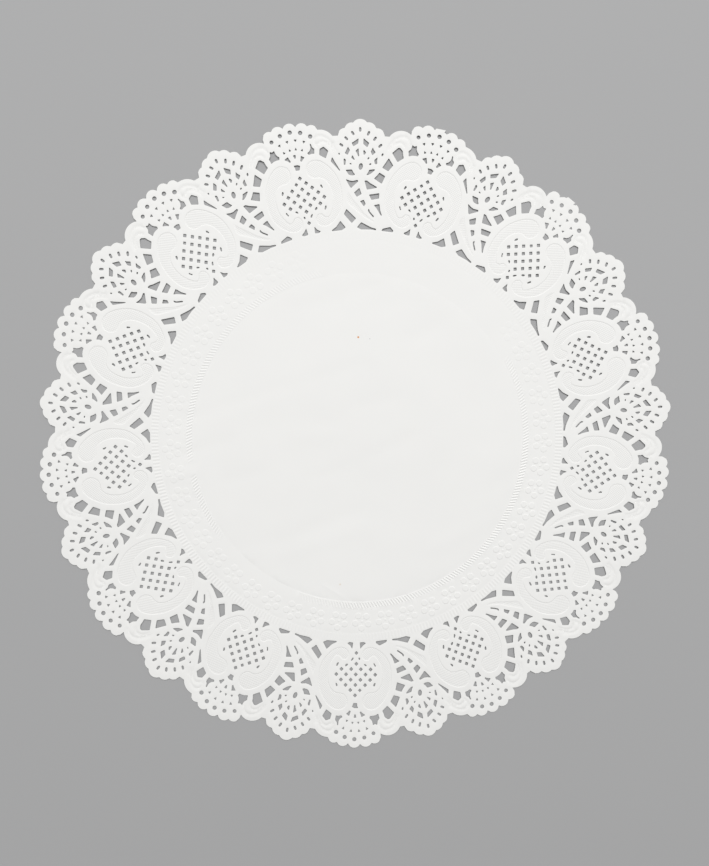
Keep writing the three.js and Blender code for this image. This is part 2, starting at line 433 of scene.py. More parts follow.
# The trellis
# The middle of each medallion is a slanting trellis, which is rows of square holes standing on their
# corners. Narrow slivers finish it against the medallion's frame.
TRELLIS_ROWS = [
    (105.37, 1, [0.12]),
    (103.2, 0.88, [-1.84]),
    (103.15, 1, [2.08]),
    (101.02, 1, [-4.0, 0.02, 4.04]),
    (98.82, 1, [-6.05, -2.05, 1.96, 5.97]),
    (96.6, 1, [-8.14, -4.13, -0.11, 3.88, 7.89]),
    (94.4, 1, [-6.21, -2.19, 1.77, 5.78]),
    (92.19, 1, [-0.3]),
    (87.67, 0.94, [-0.29]),
]
ROW_SLOPE = -0.022
HALF_ACROSS = 0.76
HALF_UP = 0.82
CORNER_SWING = 0.12
SLIVER_CORNER = 0.1
TRELLIS_SLIVERS = [
    [
        (-8.3, 100.2), (-8.25, 100.9), (-7.95, 101.65), (-7.6, 101.65), (-7.35, 101.25), (-7.6, 100.6),
        (-7.95, 100.2),
    ],
    [(7.55, 101.5), (7.3, 100.95), (7.7, 100.2), (8.05, 100.0), (8.2, 100.25), (8.05, 100.85), (7.9, 101.4)],
    [
        (-8.4, 93.1), (-8.15, 93.45), (-7.85, 93.2), (-7.75, 92.7), (-7.35, 92.3), (-7.4, 91.95),
        (-7.7, 91.95),
    ],
    [(-4.65, 92.85), (-4.3, 93.25), (-3.9, 93.05), (-3.5, 92.5), (-3.55, 92.2), (-4.2, 92.45)],
    [(3.1, 92.2), (3.2, 92.6), (3.7, 93.15), (4.2, 93.2), (4.3, 92.75), (4.05, 92.3), (3.5, 92.05)],
    [
        (6.9, 91.65), (7.05, 92.15), (7.4, 92.85), (7.7, 93.1), (7.95, 92.85), (7.85, 92.3), (7.45, 91.6),
        (7.1, 91.45),
    ],
    [(-1.9, 90.25), (-1.7, 90.55), (-1.35, 90.45), (-1.15, 89.9), (-1.4, 89.5), (-1.75, 89.6)],
    [
        (0.8, 89.85), (1.0, 90.3), (1.4, 90.75), (1.85, 90.95), (1.85, 90.5), (1.55, 90.0), (1.35, 89.6),
        (0.95, 89.5),
    ],
]


def square_hole(x, y, size):
    """A square hole on its corner, with eight points to round it."""
    loop = []
    for i in range(4):
        turn = math.pi / 2 * i
        for side in (-CORNER_SWING, CORNER_SWING):
            corner = Vector((HALF_ACROSS * math.cos(turn + side), HALF_UP * math.sin(turn + side)))
            loop.append(Vector((x, y)) + corner * size)
    return loop


for y, size, across in TRELLIS_ROWS:
    for x in across:
        repeat.gap(square_hole(x, y + ROW_SLOPE * x, size), CUT_DROP)
for corners in TRELLIS_SLIVERS:
    repeat.gap(rounded(facing_up([Vector(corner) for corner in corners]), SLIVER_CORNER), CUT_DROP)


# The pressed scrolls, leaf and shoulders
# Two scrolls in each medallion and a leaf beside the stem are pressed down, with a linen grain and a deeper
# groove along their edges. Two curved grooves follow each shoulder of the fan.
LEFT_SCROLL = [
    (-6.75, 111.75), (-4, 110.75), (-2.9, 108.5), (-3.0, 106.7), (-4, 105), (-5.5, 104.1), (-7.2, 104.1),
    (-8.9, 103.4), (-10, 102), (-10.75, 100), (-11, 97.5), (-10.8, 95), (-10.1, 92.75), (-9, 90.75),
    (-7.9, 89.3), (-6.85, 88.85), (-6.1, 89.9), (-5.5, 90.8), (-4.5, 91.15), (-3.25, 90.7), (-2.5, 89.5),
    (-2.45, 88), (-3, 86.5), (-4.5, 85.4), (-6, 85.1), (-8, 85.5), (-10.5, 87), (-12.5, 89), (-14, 91.5),
    (-14.8, 94.5), (-15.05, 97.5), (-14.9, 100.5), (-14.25, 103.5), (-13, 106.25), (-11.25, 109), (-9, 111),
]
RIGHT_SCROLL = [
    (6.75, 111.5), (4.5, 110.75), (3.25, 109), (3.1, 107.25), (3.75, 105.4), (5.25, 104.2), (7, 104.1),
    (8.8, 103.4), (10, 102), (10.85, 100), (11.15, 97.5), (11, 95), (10.4, 92.75), (9.4, 90.75),
    (8.2, 89), (7, 88.45), (6.3, 89.5), (5.6, 90.35), (4.5, 90.65), (3.25, 90), (2.55, 88.5), (2.75, 87),
    (3.75, 85.75), (5.5, 85.05), (7.5, 85.15), (10, 86.5), (12.25, 88.75), (13.8, 91), (14.85, 94),
    (15.4, 97.5), (15.4, 100.5), (14.75, 103.5), (13.5, 106.25), (11.75, 108.75), (9.5, 110.75),
]
LEAF = [
    (-29.3, 93.6), (-27.5, 92.0), (-25, 90.2), (-22.5, 88.3), (-20.5, 86.9), (-18, 85.75), (-15.8, 84.75),
    (-17.2, 84.4), (-20, 85.1), (-23, 86.4), (-26, 87.9), (-28.2, 88.9), (-29.1, 90.2), (-29.5, 92),
]
SHOULDER_GROOVES = [
    [
        (-18, 113.4), (-17.8, 115.2), (-17, 117), (-15.9, 118.6), (-14.5, 119.7), (-13, 120.15),
        (-11.6, 119.85), (-10.6, 119), (-10.2, 117.8),
    ],
    [
        (-17.1, 113.5), (-16.6, 114.9), (-15.8, 116.3), (-14.8, 117.3), (-13.8, 117.65), (-12.8, 117.3),
        (-12.1, 116.4),
    ],
    [
        (9.5, 116.3), (8.9, 117.5), (9.0, 118.9), (9.8, 119.8), (11.2, 120.2), (12.7, 119.7), (14, 118.7),
        (15.1, 117.2), (15.8, 115.5), (16.2, 113.6),
    ],
    [
        (10.2, 116.8), (10.9, 117.5), (11.7, 117.95), (12.8, 117.6), (13.8, 116.6), (14.6, 115.1),
        (15.2, 113.6),
    ],
]
# Heights of the pressing, then how far a groove and its inner side lie inside a scroll's or the leaf's edge
GROOVE_DEPTH = -0.13
SCROLL_DEPTH = -0.08
SHOULDER_DEPTH = -0.18
SHOULDER_LIFT = 0.03
SCROLL_GROOVE_IN = 0.34
SCROLL_FLANK_IN = 0.85
LEAF_GROOVE_IN = 0.4
LEAF_FLANK_IN = 1.1
SHOULDER_HALF_WIDTH = 0.5
# The share of linen grain on the pressed floors and in the grooves
FLOOR_LINEN = 1.0
SCROLL_GROOVE_LINEN = 0.7
LEAF_GROOVE_LINEN = 0.8
# The spacing of the points along the scrolls, the leaf and the shoulder grooves
SCROLL_SPACING = 1.6
LEAF_SPACING = 1.35
SHOULDER_SPACING = 1.3


def through(points, spacing, closed):
    """A smooth curve through the points, divided into stretches of about one length."""
    curve = []
    count = len(points)
    for i in range(count if closed else count - 1):
        a, b = points[i], points[(i + 1) % count]
        before = points[i - 1] if closed or i else a
        after = points[(i + 2) % count] if closed or i + 2 < count else b
        steps = 16
        for j in range(steps):
            t = j / steps
            pull_in = (b - before) / 2
            pull_out = (after - a) / 2
            curve.append(
                a * (2 * t**3 - 3 * t**2 + 1) + pull_in * (t**3 - 2 * t**2 + t)
                + b * (3 * t**2 - 2 * t**3) + pull_out * (t**3 - t**2)
            )
    curve.append(points[0] if closed else points[-1])
    lengths = [0.0]
    for a, b in zip(curve, curve[1:]):
        lengths.append(lengths[-1] + (b - a).length)
    pieces = max(2, round(lengths[-1] / spacing))
    even = []
    at = 0
    for j in range(pieces if closed else pieces + 1):
        target = lengths[-1] * j / pieces
        while at < len(lengths) - 2 and lengths[at + 1] < target:
            at += 1
        share = (target - lengths[at]) / max(lengths[at + 1] - lengths[at], 1e-9)
        even.append(curve[at].lerp(curve[at + 1], share))
    return even


def moved_out(loop, distance, closed=True):
    """Each point of a line moved to its right-hand side, which is outwards on an anticlockwise loop."""
    shifted = []
    for i, point in enumerate(loop):
        before = loop[i - 1] if closed or i else point
        after = loop[(i + 1) % len(loop)] if closed or i + 1 < len(loop) else point
        along = (after - before).normalized()
        shifted.append(point + Vector((along.y, -along.x)) * distance)
    return shifted


pressed_areas = []
flank_points = []  # with their heights and linen, kept only where they have room
for shape in (LEFT_SCROLL, RIGHT_SCROLL):
    scroll_outline = facing_up(through([Vector(point) for point in shape], SCROLL_SPACING, True))
    repeat.crease([repeat.dot(point) for point in scroll_outline], True)
    groove = moved_out(scroll_outline, -SCROLL_GROOVE_IN)
    repeat.crease([repeat.dot(point, GROOVE_DEPTH, SCROLL_GROOVE_LINEN) for point in groove], True)
    flank = moved_out(scroll_outline, -SCROLL_FLANK_IN)
    flank_points += [(point, SCROLL_DEPTH, FLOOR_LINEN) for point in flank]
    pressed_areas.append(scroll_outline)
leaf_outline = facing_up(through([Vector(point) for point in LEAF], LEAF_SPACING, True))
repeat.crease([repeat.dot(point) for point in leaf_outline], True)
groove = moved_out(leaf_outline, -LEAF_GROOVE_IN)
flank = moved_out(leaf_outline, -LEAF_FLANK_IN)
flank_points += [(point, GROOVE_DEPTH, LEAF_GROOVE_LINEN) for point in groove]
flank_points += [(point, SCROLL_DEPTH, FLOOR_LINEN) for point in flank]
pressed_areas.append(leaf_outline)
for groove in SHOULDER_GROOVES:
    course = through([Vector(point) for point in groove], SHOULDER_SPACING, False)
    repeat.line(course, SHOULDER_DEPTH)
    for side in (-SHOULDER_HALF_WIDTH, SHOULDER_HALF_WIDTH):
        flank_points += [(point, SHOULDER_LIFT, 0.0) for point in moved_out(course, side, False)]


# The ribbed rim
# A ring of straight ribs edges the plain part of the sheet, twenty-nine to a repeat, just inside the lace.
# They stand between a fine groove and the first windows.
RIBS = 29
RIB_RADII = (79.85, 81.2, 82.6)
RIB_HEIGHTS = (0.08, 0.09, 0.06)
RIB_VALLEYS = (-0.08, -0.08, -0.10)
RIM_GROOVE_RADIUS = 79.45
RIM_GROOVE_DEPTH = -0.08
ribs = []
for i in range(2 * RIBS):
    turn = REPEAT_TURN * (i + 0.5) / (2 * RIBS) - REPEAT_TURN / 2
    heights = RIB_HEIGHTS if i % 2 == 0 else RIB_VALLEYS
    rib = [repeat.dot(turned(Vector((0, r)), turn), height) for r, height in zip(RIB_RADII, heights)]
    repeat.crease(rib)
    repeat.dot(turned(Vector((0, RIM_GROOVE_RADIUS)), turn), RIM_GROOVE_DEPTH)
    ribs.append(rib)
for end in (0, 2):
    repeat.crease([rib[end] for rib in ribs])


# Filling one repeat
# Each cut edge gets a row of level points beside it, and the rest of the lace is filled with even points,
# so that every bar of paper is gently crowned.
LINE_STEP = 0.3
FLANK_ROOM = 0.3
GAP_ROOM = 0.4
EDGE_ROOM = 0.33
FILL_ROOM = 0.78
FILL_ALONG = 1.15
FILL_OUT = 1.0
FILL_START = 79.0
FILL_END = 127
FILL_WANDER = 0.12
FILL_SWING = 0.08
EDGE_CLEAR = 0.25
spacing = Spacing()
neighbours = (-REPEAT_TURN, 0, REPEAT_TURN)


def remember(point):
    for turn in neighbours:
        spacing.add(turned(point, turn))


for point in repeat.points:
    remember(point)
for a, b in repeat.lines + repeat.creases:
    side = repeat.points[b] - repeat.points[a]
    pieces = math.ceil(side.length / LINE_STEP)
    for j in range(1, pieces):
        remember(repeat.points[a] + side * (j / pieces))
for a, b in zip(edge, edge[1:] + [turned(edge[0], REPEAT_TURN)]):
    for j in range(3):
        remember(a.lerp(b, j / 3))

gap_loops = [[repeat.points[i] for i in gap] for gap in repeat.gaps]
near_gaps = []
for loop in gap_loops:
    for turn in neighbours:
        copy = [turned(point, turn) for point in loop]
        xs = [point.x for point in copy]
        ys = [point.y for point in copy]
        near_gaps.append((min(xs), max(xs), min(ys), max(ys), copy))


def in_a_gap(point):
    for x0, x1, y0, y1, loop in near_gaps:
        if x0 < point.x < x1 and y0 < point.y < y1 and inside(point, loop):
            return True
    return False


def settle(point, room, height, linen):
    """Adds a point to the repeat if it has room and isn't in a gap or over the edge."""
    turn = math.degrees(math.atan2(point.x, point.y))
    within = point.length < edge_at(turn)[0] - EDGE_CLEAR
    if within and spacing.clear(point, room) and not in_a_gap(point):
        repeat.dot(point, height, linen)
        remember(point)


for point, height, linen in flank_points:
    settle(point, FLANK_ROOM, height, linen)
for loop in gap_loops:
    for point in moved_out(loop, SHOULDER_IN):
        settle(point, GAP_ROOM, 0.0, 0.0)
for point in moved_out(edge, -SHOULDER_IN, False):
    settle(point, EDGE_ROOM, 0.0, 0.0)

random.seed(41)
row = 0
radius = FILL_START
while radius < FILL_END:
    count = round(math.radians(REPEAT_TURN) * radius / FILL_ALONG)
    for i in range(count):
        turn = REPEAT_TURN * ((i + 0.5 * (row % 2)) / count - 0.5)
        out = radius + random.uniform(-FILL_WANDER, FILL_WANDER)
        point = turned(Vector((0, out)), turn + random.uniform(-FILL_SWING, FILL_SWING))
        height, linen = 0.0, 0.0
        for area in pressed_areas:
            for there in neighbours:
                if inside(turned(point, -there), area):
                    height, linen = SCROLL_DEPTH, FLOOR_LINEN
        settle(point, FILL_ROOM, height, linen)
    radius += FILL_OUT
    row += 1


# The whole die
# Thirteen repeats make the border. Their edges join into one outline, which is torn in two places. The die
# pressed unevenly, so the ribs are fainter at the top.
RIB_STRENGTH = [
    (0, 0.1), (20, 0.1), (45, 0.25), (75, 0.56), (110, 0.62), (165, 0.58), (195, 0.4), (225, 0.78),
    (255, 0.68), (285, 0.45), (315, 0.2), (345, 0.1), (360, 0.1),
]
RIBS_FROM = 79.4
RIBS_TO = 82.7
TORN_EDGES = [
    [(13.75, 126.0), (13.9, 126.55), (15.6, 126.8), (15.45, 125.9), (15.9, 125.4)],
    [
        (39.3, 125.0), (39.5, 125.4), (39.96, 126.35), (40.27, 126.5), (40.47, 127.3), (42.05, 127.45),
        (42.0, 126.4), (42.35, 126.85),
    ],
]


def by_turn(table, turn):
    """A value that changes evenly between the turns in a table."""
    turn %= 360
    for (a, low), (b, high) in zip(table, table[1:]):
        if a <= turn <= b:
            return low + (high - low) * (turn - a) / (b - a)
    return table[-1][1]


def turn_of(point):
    return math.degrees(math.atan2(point.x, point.y)) % 360


die = Die()
outline = []
for number in range(REPEATS):
    turn = FIRST_TURN + number * REPEAT_TURN
    die.stamp(repeat, turn)
    outline += [turned(point, turn) for point in edge]
for torn in TORN_EDGES:
    start, end = torn[0][0], torn[-1][0]
    first = next(i for i, point in enumerate(outline) if turn_of(point) > start and turn_of(point) < end)
    outline = [point for point in outline if not start < turn_of(point) < end]
    outline[first:first] = [turned(Vector((0, reach)), turn) for turn, reach in torn]
for i, point in enumerate(die.points):
    if RIBS_FROM < point.length < RIBS_TO:
        die.heights[i] *= by_turn(RIB_STRENGTH, turn_of(point))
outline = outline[::-1]  # anticlockwise
die.gap(outline, CUT_DROP)


# The ring of little flowers
# Forty-nine five-petalled flowers are embossed round the plain middle. They came out strong on the right
# and fade to nothing at the top, as the die pressed unevenly.
RING_FLOWERS = 49
RING_REACH = 74.55
RING_FIRST_TURN = 105.5
FLOWER_STRENGTH = [
    (0, 0.05), (50, 0.1), (60, 0.45), (75, 0.6), (90, 0.8), (103, 1.15), (150, 1.1), (165, 0.85),
    (185, 0.95), (205, 0.85), (225, 0.65), (260, 0.55), (310, 0.6), (330, 0.45), (345, 0.1), (360, 0.05),
]
FAINTEST_FLOWER = 0.12
# The radii of a button's and a petal's flat top and foot, with their number of sides
BUTTON = (0.3, 0.65, 5)
PETAL = (1.15, 1.45, 8)
PETALS = 5
PETAL_OUT = 2.8
PETAL_TURN = 5
PETAL_HEIGHT = 0.1
PETAL_RIM_HEIGHT = 0.11
PETAL_FOOT_HEIGHT = -0.02

sheet_spacing = Spacing()
for number in range(RING_FLOWERS):
    turn = RING_FIRST_TURN + number * 360 / RING_FLOWERS
    strength = by_turn(FLOWER_STRENGTH, turn)
    if strength < FAINTEST_FLOWER:
        continue
    flower = turned(Vector((0, RING_REACH)), turn)
    discs = [(flower, *BUTTON)]
    for i in range(PETALS):
        petal_turn = turn + PETAL_TURN + 72 * i
        discs.append((flower + turned(Vector((0, PETAL_OUT)), petal_turn), *PETAL))
    for middle, flat, foot, sides in discs:
        die.dot(middle, PETAL_HEIGHT * strength)
        sheet_spacing.add(middle)
        for radius, height in ((flat, PETAL_RIM_HEIGHT), (foot, PETAL_FOOT_HEIGHT)):
            rim = [middle + turned(Vector((0, radius)), turn + 360 / sides * i) for i in range(sides)]
            die.crease([die.dot(point, height * strength) for point in rim], True)
            for point in rim:
                sheet_spacing.add(point)


# The knurled ring
# Fine slanted ribs, three hundred and sixty round the sheet, lie between the little flowers and the plain
# middle, with a narrow groove inside them. They too are uneven, and bare in three stretches.
KNURLS = 360
KNURL_SLANT = 0.905
KNURL_INNER_RADIUS = 66.65
KNURL_OUTER_RADIUS = 68.9
KNURL_HEIGHT = 0.1
KNURL_STRENGTH = [
    (0, 0), (60, 0), (64, 0.65), (88, 0.85), (95, 1.2), (150, 1.1), (154, 0.7), (160, 0.7), (162, 1.25),
    (185, 1.2), (187, 0.75), (200, 0.6), (202, 0), (234, 0), (240, 0.95), (257, 0.95), (259, 0),
    (262, 0), (266, 0.85), (298, 0.8), (305, 0.55), (330, 0.5), (350, 0.1), (360, 0),
]
FAINTEST_KNURL = 0.15
BARE_STRETCH = 1  # knurls that are further apart than this aren't joined
knurls = []
for number in range(2 * KNURLS):
    turn = number * 180 / KNURLS
    strength = by_turn(KNURL_STRENGTH, turn)
    if strength < FAINTEST_KNURL:
        continue
    height = (KNURL_HEIGHT if number % 2 else -KNURL_HEIGHT) * strength
    inner = turned(Vector((0, KNURL_INNER_RADIUS)), turn)
    outer = turned(Vector((0, KNURL_OUTER_RADIUS)), turn - KNURL_SLANT)
    knurls.append([die.dot(inner, height), die.dot(outer, height)])
    die.crease(knurls[-1])
    for j in range(4):
        sheet_spacing.add(inner.lerp(outer, j / 3))
for end in (0, 1):
    row = [knurl[end] for knurl in knurls]
    for a, b in zip(row, row[1:]):
        if (die.points[a] - die.points[b]).length < BARE_STRETCH:
            die.crease([a, b])
GROOVE_RADIUS = 66.15
GROOVE_SINK = -0.08
GROOVE_STEP_TURN = 1.2
GROOVE_STRENGTH = [(0, 0.35), (140, 0.4), (150, 1), (225, 1), (235, 0.4), (360, 0.35)]
groove = []
for i in range(round(360 / GROOVE_STEP_TURN)):
    turn = i * GROOVE_STEP_TURN
    depth = GROOVE_SINK * by_turn(GROOVE_STRENGTH, turn)
    groove.append(die.dot(turned(Vector((0, GROOVE_RADIUS)), turn), depth))
    sheet_spacing.add(die.points[groove[-1]])
die.crease(groove, True)


# The plain middle
# It is uncut and smooth apart from soft wrinkles, which run across it and rise a little to the right. There
# is one short sharp crease in it near the bottom.
FOLD_START = Vector((-16.2, -58.1))
FOLD_END = Vector((-5.6, -64.7))
FOLD_PIECES = 8
FOLD_HEIGHT = 0.048
FOLD_HALF_WIDTH = 0.6
MIDDLE_REACH = 79.0
MIDDLE_COLUMNS = 34
MIDDLE_RADIUS = 65.4
BAND_FROM = 69.3
BAND_TO = 78.4
MIDDLE_ACROSS = 2.6
MIDDLE_UP = 2.25
MIDDLE_WANDER = 0.3
MIDDLE_ROOM = 0.75
RING_RADII = (69.35, 79.05, 65.7)
RING_SPACING = 1.5
RING_ROOM = 0.6

fold = [FOLD_START.lerp(FOLD_END, i / FOLD_PIECES) for i in range(FOLD_PIECES + 1)]
rises = [FOLD_HEIGHT * i * (FOLD_PIECES - i) / (FOLD_PIECES / 2) ** 2 for i in range(FOLD_PIECES + 1)]
die.crease([die.dot(point, rise) for point, rise in zip(fold, rises)])
for side in (-FOLD_HALF_WIDTH, FOLD_HALF_WIDTH):
    for point in moved_out(fold, side, False):
        die.dot(point)
        sheet_spacing.add(point)
row = 0
y = -MIDDLE_REACH
while y < MIDDLE_REACH:
    for i in range(-MIDDLE_COLUMNS, MIDDLE_COLUMNS + 1):
        x = (i + 0.5 * (row % 2)) * MIDDLE_ACROSS
        aside = random.uniform(-MIDDLE_WANDER, MIDDLE_WANDER)
        point = Vector((x + aside, y + random.uniform(-MIDDLE_WANDER, MIDDLE_WANDER)))
        reach = point.length
        if reach < MIDDLE_RADIUS or BAND_FROM < reach < BAND_TO:
            if sheet_spacing.clear(point, MIDDLE_ROOM):
                die.dot(point)
                sheet_spacing.add(point)
    row += 1
    y += MIDDLE_UP
for reach in RING_RADII:
    count = round(math.tau * reach / RING_SPACING)
    for i in range(count):
        point = turned(Vector((0, reach)), 360 * i / count)
        if sheet_spacing.clear(point, RING_ROOM):
            die.dot(point)
            sheet_spacing.add(point)


# How the sheet lies
# Loose paper stands off the table in slow waves, more so at its cut border, and nineteen soft wrinkles run
# across it. Each wrinkle has its two ends, its half-width and its height, in millimetres.
WAVE_LENGTH = 55
WAVE_HEIGHT = 0.28
RIPPLE_LENGTH = 16
RIPPLE_WIDTH = 9
RIPPLE_HEIGHT = 0.05
BORDER_WAVE_LENGTH = 24
BORDER_WAVE_HEIGHT = 0.22
BORDER_START = 78
BORDER_FADE = 20
WRINKLE_FADE_END = 84
WRINKLE_FADE = 10
WRINKLE_TAIL = 0.25  # a wrinkle dies away over this share of its length beyond each end
WRINKLE_TAIL_LIFT = 0.1
WRINKLES = [
    ((-77, 5.5), (-22.6, 24), 2.6, -0.11),
    ((-26, 22), (10, 33), 2.4, -0.08),
    ((8, 32), (36, 49), 3.0, -0.09),
    ((-76, -7.2), (-49, 0.8), 2.2, -0.12),
    ((-21, -16), (-2, -10.5), 2.0, -0.10),
    ((-4, -11), (26, 4), 2.6, -0.09),
    ((-53, -44), (-26, -39), 3.0, -0.08),
    ((-28, -39), (4, -27.5), 2.8, -0.12),
    ((-37, -48.5), (8, -34.5), 2.6, 0.09),
    ((-4, 13.2), (17, 17.6), 3.4, -0.10),
    ((-31, 51), (-4, 58), 2.4, -0.07),
    ((-6, 57.5), (14, 64.5), 2.2, -0.10),
    ((-81, -16), (-62, -11.5), 2.4, 0.12),
    ((-57, -17.5), (-35, -11.5), 3.0, -0.09),
    ((-31, 1.5), (-6, 3.2), 3.2, 0.09),
    ((2, 30), (21, 39), 2.4, 0.09),
    ((49.6, -23), (70, -9), 3.0, -0.09),
    ((25, -47), (57, -31), 3.0, 0.11),
    ((-15, 4.5), (-8, 5.5), 1.8, -0.07),
]


def wrinkled(point):
    """How far the wrinkles lift or sink the sheet at a point."""
    height = 0.0
    for start, end, width, lift in WRINKLES:
        start, end = Vector(start), Vector(end)
        along = end - start
        length = along.length
        share = (point - start).dot(along) / length**2
        if -WRINKLE_TAIL < share < 1 + WRINKLE_TAIL:
            aside = abs((point - start).x * along.y - (point - start).y * along.x) / length
            if aside < 3 * width:
                if 0 <= share <= 1:
                    taper = 1 - (2 * share - 1) ** 4 * (1 - WRINKLE_TAIL_LIFT)
                else:
                    beyond = abs(share - min(max(share, 0), 1))
                    taper = WRINKLE_TAIL_LIFT * (1 - beyond / WRINKLE_TAIL)
                height += lift * taper * math.exp(-((aside / width) ** 2) * 1.4)
    return height


def lie_of(point):
    """How far the loose sheet stands off the table at a point. Each wave is its own slice of the noise."""
    reach = point.length
    wave = noise.noise(Vector((point.x / WAVE_LENGTH, point.y / WAVE_LENGTH, 3.1))) * WAVE_HEIGHT
    fine = noise.noise(Vector((point.x / RIPPLE_LENGTH + 7, point.y / RIPPLE_WIDTH, 8.4))) * RIPPLE_HEIGHT
    border = noise.noise(Vector((point.x / BORDER_WAVE_LENGTH, point.y / BORDER_WAVE_LENGTH, 21.7)))
    border *= BORDER_WAVE_HEIGHT
    fade = min(1.0, max(0.0, (reach - BORDER_START) / BORDER_FADE))
    wrinkles = wrinkled(point) * min(1.0, max(0.0, (WRINKLE_FADE_END - reach) / WRINKLE_FADE))
    return wave + fine + border * fade + wrinkles


# The sheet
# Soft white paper of about 50 g/m2 is 0.15 to 0.16 mm thick. All of the die's points become one sheet, which
# has its thickness on the under side, so the pattern shows there too.
PAPER_THICKNESS = 0.16
SAME_POINT = 1e-5


def cut_sheet():
    """The whole sheet's upper face, without the triangles that fall in gaps or outside the edge."""
    lines = die.lines + die.creases
    points, _, faces, sources, _, _ = geometry.delaunay_2d_cdt(die.points, lines, [], 0, SAME_POINT)
    came_from = [ids[0] for ids in sources]
    loop_of = {i: number for number, gap in enumerate(die.gaps) for i in gap}
    gap_count = len(die.gaps) - 1
    loops = [[die.points[i] for i in gap] for gap in die.gaps]
    kept = []
    for face in faces:
        numbers = {loop_of.get(came_from[i], -1) for i in face}
        if len(numbers) == 1 and -1 not in numbers:
            number = numbers.pop()
            middle = sum((points[i] for i in face), Vector((0, 0))) / 3
            if inside(middle, loops[number]) != (number == gap_count):
                continue
        kept.append(face)
    return points, came_from, kept


# How far the border has moved outwards, and how far along the edge, at its outermost points. Nearer the
# middle it has moved less, and the plain middle is still round.
EVEN_REACH = 75
STRETCHED_REACH = 124
STRETCH_POWER = 1.6
MOVED_OUT = [
    (0, -1.2), (30, -0.1), (60, 0.8), (90, 1.4), (120, 0.6), (150, -0.2), (180, 0.7), (210, 0.95),
    (240, 0.45), (270, -0.25), (300, -0.45), (330, -0.65), (360, -1.2),
]
MOVED_ALONG = [
    (0, -0.6), (30, -0.25), (60, 1.05), (90, 1.0), (120, 0.3), (150, 0.1), (180, -0.4), (210, -1.0),
    (240, -1.1), (270, -0.85), (300, 0.2), (330, 0.55), (360, -0.6),
]


def out_of_round(point):
    """The point where a point of the die lies on the sheet, whose soft border has stretched a little."""
    reach = point.length
    if reach < EVEN_REACH:
        return point
    share = ((reach - EVEN_REACH) / (STRETCHED_REACH - EVEN_REACH)) ** STRETCH_POWER
    turn = turn_of(point)
    out = point / reach
    along = Vector((out.y, -out.x))
    return point + (out * by_turn(MOVED_OUT, turn) + along * by_turn(MOVED_ALONG, turn)) * share


points, came_from, faces = cut_sheet()
points = [out_of_round(point) for point in points]
heights = [die.heights[i] for i in came_from]
mm = 0.001
places = [(p.x * mm, p.y * mm, (height + lie_of(p)) * mm) for p, height in zip(points, heights)]
mesh = bpy.data.meshes.new("paper_doily")
mesh.from_pydata(places, [], faces)
linen_share = mesh.attributes.new("linen", "FLOAT", "POINT")
linen_share.data.foreach_set("value", [die.linen[i] for i in came_from])
linen_place = mesh.attributes.new("linen_place", "FLOAT_VECTOR", "POINT")
linen_place.data.foreach_set("vector", [part for i in came_from for part in (*(die.homes[i] * mm), 0.0)])
creases = {frozenset(crease) for crease in die.creases}
for side in mesh.edges:
    a, b = side.vertices
    side.use_edge_sharp = frozenset((came_from[a], came_from[b])) in creases
doily = bpy.data.objects.new("paper_doily", mesh)
bpy.context.scene.collection.objects.link(doily)
bpy.ops.object.select_all(action="DESELECT")
doily.select_set(True)
bpy.context.view_layer.objects.active = doily
thickness = doily.modifiers.new("thickness", "SOLIDIFY")
thickness.thickness = PAPER_THICKNESS * mm
thickness.offset = -1
bpy.ops.object.modifier_apply(modifier="thickness")
lowest = min(vertex.co.z for vertex in doily.data.vertices)
doily.data.transform(Matrix.Translation((0, 0, -lowest)))
bpy.ops.object.shade_smooth_by_angle(angle=math.radians(50))  # the cut edges stay crisp
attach(doily, "root")
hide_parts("doily")


# The paper's finish
# Matt bleached paper: slightly cloudy, with short fibres, and a fine linen grain where the die pressed it.
# A few specks of bark and ink are left in it, as cheap paper has.
class Sum:
    """A socket that can be added to and multiplied in Python."""

    def __init__(self, tree, socket):
        self.tree = tree
        self.socket = socket

    def made(self, kind, settings, *inputs, output=0):
        """A new node of a type, with its settings made first and its sockets filled in order."""
        node = self.tree.nodes.new(kind)
        for name, value in settings.items():
            setattr(node, name, value)
        for place, value in inputs:
            if isinstance(value, Sum):
                self.tree.links.new(value.socket, node.inputs[place])
            else:
                node.inputs[place].default_value = value
        return Sum(self.tree, node.outputs[output])

    def maths(self, operation, *values):
        return self.made("ShaderNodeMath", {"operation": operation}, *enumerate(values))

    def __add__(self, other):
        return self.maths("ADD", self, other)

    def __mul__(self, other):
        return self.maths("MULTIPLY", self, other)


def new_finish(name):
    """A material with a plain shader, and a socket of it to build on."""
    material = bpy.data.materials.new(name)
    material.use_nodes = True
    tree = material.node_tree
    shader = tree.nodes["Principled BSDF"]
    place = Sum(tree, tree.nodes.new("ShaderNodeTexCoord").outputs["Object"])
    return material, tree, shader, place


def noise_of(place, scale, detail, rough=0.5):
    sockets = (("Vector", place), ("Scale", scale), ("Detail", detail), ("Roughness", rough))
    return place.made("ShaderNodeTexNoise", {}, *sockets, output="Fac")


def mixed(share, low, high):
    """A colour between two, by a share."""
    return share.made("ShaderNodeMix", {"data_type": "RGBA"}, (0, share), (6, low), (7, high), output=2)


def speck(place, x, y, radius):
    """Where a speck is: 1 in its middle and 0 outside it. Lengths are in metres."""
    spot = (x, y, 0.0005)
    distance = place.made("ShaderNodeVectorMath", {"operation": "DISTANCE"}, (0, place), (1, spot), output=1)
    fading = ((1, radius * 0.55), (2, radius), (3, 1.0), (4, 0.0))
    return place.made("ShaderNodeMapRange", {}, (0, distance), *fading)


